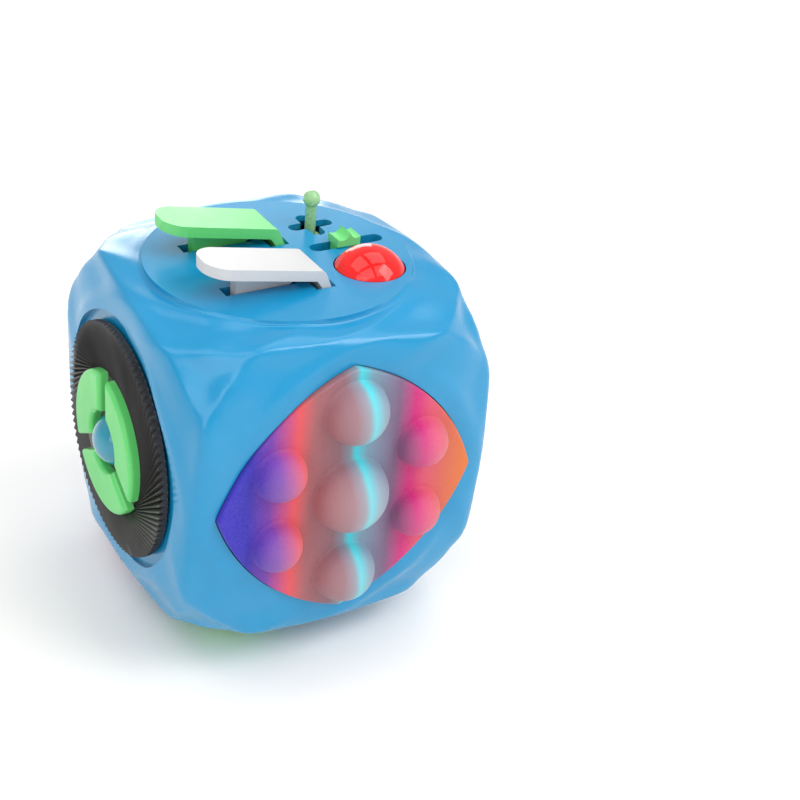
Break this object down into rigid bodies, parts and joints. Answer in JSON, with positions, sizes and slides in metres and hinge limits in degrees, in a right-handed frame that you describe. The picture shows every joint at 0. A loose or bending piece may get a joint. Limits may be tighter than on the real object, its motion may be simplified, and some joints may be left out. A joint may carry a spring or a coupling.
{
  "type": "fidget cube",
  "caption": "Blue swirl-shaped fidget cube with keys, joystick, slider, dome button, spinner, pop bubbles, maze, pyramid, rolling balls and mouth button.",
  "frame": {"origin": "under the middle of the object, on the plane the two balls and the mouth button stand on", "axes": "+Z is the side with the two keys, +X the maze window, -X the spinner, -Y the pop bubbles, +Y the pyramid"},
  "size_m": [0.0549, 0.0618, 0.0642],
  "materials": {
    "body_shell": "satin blue plastic",
    "inner_parts": "dark blue moulded plastic",
    "green_parts": "light green plastic",
    "white_parts": "white plastic",
    "stick_plastic": "pale green translucent plastic",
    "red_parts": "glossy red plastic",
    "black_parts": "glossy black plastic",
    "spinner_black": "dark pleated plastic",
    "hub_plastic": "clear teal plastic",
    "pop_silicone": "matte printed silicone",
    "maze_dark": "near black plastic",
    "maze_green": "muted green plastic",
    "clear_window": "clear acrylic",
    "steel": "plain steel"
  },
  "bodies": {
    "cube": {"upper_shell": "body_shell", "lower_shell": "body_shell", "shell_dowels": "inner_parts", "top_carrier": "inner_parts", "top_carrier_screws": "steel", "key_pivot_pin": "steel", "green_key_spring": "steel", "white_key_spring": "steel", "joystick_socket": "inner_parts", "joystick_spring": "steel", "slider_guide": "inner_parts", "dome_button_spring": "steel", "mouth_button_springs": "steel", "lower_carrier": "inner_parts", "lower_carrier_screws": "steel", "spinner_bearing_inner": "steel", "spinner_bearing_balls": "steel", "spinner_axle": "steel", "pop_pad": "pop_silicone", "pop_frame": "inner_parts", "maze_tray": "maze_dark", "maze_walls": "maze_green", "maze_window": "clear_window", "pyramid_cap": "black_parts", "pyramid_retainer": "inner_parts", "pyramid_screws": "steel"},
    "green_key": {"green_key": "green_parts"},
    "white_key": {"white_key": "white_parts"},
    "joystick": {"joystick": "stick_plastic", "joystick_pin": "steel"},
    "slider": {"slider_knob": "green_parts", "slider_shoe": "inner_parts"},
    "dome_button": {"dome_button": "red_parts"},
    "red_ball": {"red_ball": "red_parts"},
    "green_ball": {"green_ball": "green_parts"},
    "mouth_button": {"mouth_button": "black_parts"},
    "spinner": {"spinner_disc": "spinner_black", "spinner_arcs": "green_parts", "spinner_cap": "hub_plastic", "spinner_bearing_outer": "steel"},
    "maze_ball": {"maze_ball": "red_parts"},
    "pop_bubble_1": {"pop_bubble_1": "pop_silicone"},
    "pop_bubble_2": {"pop_bubble_2": "pop_silicone"},
    "pop_bubble_3": {"pop_bubble_3": "pop_silicone"},
    "pop_bubble_4": {"pop_bubble_4": "pop_silicone"},
    "pop_bubble_5": {"pop_bubble_5": "pop_silicone"},
    "pop_bubble_6": {"pop_bubble_6": "pop_silicone"},
    "pop_bubble_7": {"pop_bubble_7": "pop_silicone"}
  },
  "joints": [
    {"name": "green_key_press", "type": "hinge", "parent": "cube", "child": "green_key", "pos_m": [0.00425, 0.0089, 0.0542], "axis": [0, -1, 0], "range_deg": [0, 10], "stiffness_Nm_per_rad": 0.02, "springref_deg": -8.59, "deforming": ["green_key_spring"]},
    {"name": "white_key_press", "type": "hinge", "parent": "cube", "child": "white_key", "pos_m": [0.00425, -0.0063, 0.0542], "axis": [0, -1, 0], "range_deg": [0, 10], "stiffness_Nm_per_rad": 0.02, "springref_deg": -8.59, "deforming": ["white_key_spring"]},
    {"name": "joystick_tilt", "type": "hinge", "parent": "cube", "child": "joystick", "pos_m": [0.01135, 0.0096, 0.0528], "axis": [0, 1, 0], "range_deg": [-22, 22], "stiffness_Nm_per_rad": 0.004},
    {"name": "slider_slide", "type": "slide", "parent": "cube", "child": "slider", "axis": [1, 0, 0], "range_m": [-0.0032, 0.004]},
    {"name": "dome_button_press", "type": "slide", "parent": "cube", "child": "dome_button", "axis": [0, 0, -1], "range_m": [0, 0.002], "stiffness_N_per_m": 400, "springref_m": -0.002, "deforming": ["dome_button_spring"]},
    {"name": "mouth_button_press", "type": "slide", "parent": "cube", "child": "mouth_button", "axis": [0, 0, 1], "range_m": [0, 0.0022], "stiffness_N_per_m": 600, "springref_m": -0.002, "deforming": ["mouth_button_springs"]},
    {"name": "red_ball_roll", "type": "hinge", "parent": "cube", "child": "red_ball", "pos_m": [-0.00995, 0.0119, 0.0074], "axis": [0, 1, 0], "continuous": true},
    {"name": "green_ball_roll", "type": "hinge", "parent": "cube", "child": "green_ball", "pos_m": [-0.00995, -0.0093, 0.0074], "axis": [0, 1, 0], "continuous": true},
    {"name": "spinner_spin", "type": "hinge", "parent": "cube", "child": "spinner", "pos_m": [-0.02465, 0.0013, 0.0318], "axis": [-1, 0, 0], "continuous": true},
    {"name": "pop_bubble_1_press", "type": "slide", "parent": "cube", "child": "pop_bubble_1", "axis": [0, 1, 0], "range_m": [0, 0.0036]},
    {"name": "pop_bubble_2_press", "type": "slide", "parent": "cube", "child": "pop_bubble_2", "axis": [0, 1, 0], "range_m": [0, 0.0028]},
    {"name": "pop_bubble_3_press", "type": "slide", "parent": "cube", "child": "pop_bubble_3", "axis": [0, 1, 0], "range_m": [0, 0.0028]},
    {"name": "pop_bubble_4_press", "type": "slide", "parent": "cube", "child": "pop_bubble_4", "axis": [0, 1, 0], "range_m": [0, 0.0024]},
    {"name": "pop_bubble_5_press", "type": "slide", "parent": "cube", "child": "pop_bubble_5", "axis": [0, 1, 0], "range_m": [0, 0.0024]},
    {"name": "pop_bubble_6_press", "type": "slide", "parent": "cube", "child": "pop_bubble_6", "axis": [0, 1, 0], "range_m": [0, 0.0024]},
    {"name": "pop_bubble_7_press", "type": "slide", "parent": "cube", "child": "pop_bubble_7", "axis": [0, 1, 0], "range_m": [0, 0.0024]},
    {"name": "maze_ball_roll", "type": "slide", "parent": "cube", "child": "maze_ball", "axis": [0, 1, 0], "range_m": [-0.0022, 0.0022]}
  ]
}
